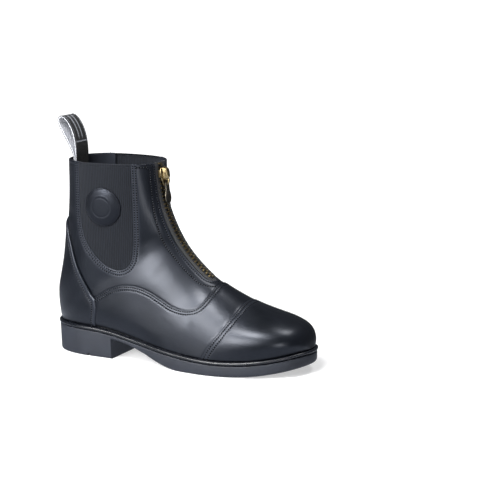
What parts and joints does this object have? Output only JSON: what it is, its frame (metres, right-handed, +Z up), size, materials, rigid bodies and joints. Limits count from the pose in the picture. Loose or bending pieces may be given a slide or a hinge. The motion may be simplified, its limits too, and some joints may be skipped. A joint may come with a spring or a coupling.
{
  "type": "paddock boot",
  "caption": "Zip-front paddock boot of black leather with elastic gores, toe cap, brass zip with a hinged pull, a tape loop at the collar and a rubber sole with heel.",
  "frame": {"origin": "Middle of the heel's flat ground face, on the ground.", "axes": "+X runs from the heel to the toe, +Y to the inner side of the foot, +Z up."},
  "size_m": [0.2732, 0.0977, 0.2321],
  "materials": {
    "black_leather": "smooth polished full-grain leather",
    "insole_leather": "matte leather sock",
    "gore_elastic": "matte ribbed elastic",
    "sole_rubber": "matte moulded rubber",
    "welt_rubber": "glossy moulded rubber",
    "webbing": "woven tape with light borders",
    "zip_cloth": "woven zip tape",
    "antique_brass": "antique brass",
    "dark_metal": "gunmetal plated"
  },
  "bodies": {
    "boot": {"outsole": "sole_rubber", "welt": "welt_rubber", "insole": "insole_leather", "upper": "black_leather", "vamp": "black_leather", "toe_cap": "black_leather", "counter": "black_leather", "gore_outer": "gore_elastic", "gore_inner": "gore_elastic", "badge": "black_leather", "zip_tape": "zip_cloth", "zip_teeth": "antique_brass", "zip_slider": "antique_brass", "pull_loop": "webbing"},
    "zip_pull": {"zip_pull": "dark_metal"}
  },
  "joints": [
    {"name": "zip_pull", "type": "hinge", "parent": "boot", "child": "zip_pull", "pos_m": [0.08007, 0, 0.17288], "axis": [0, -1, 0], "range_deg": [0, 125]}
  ]
}
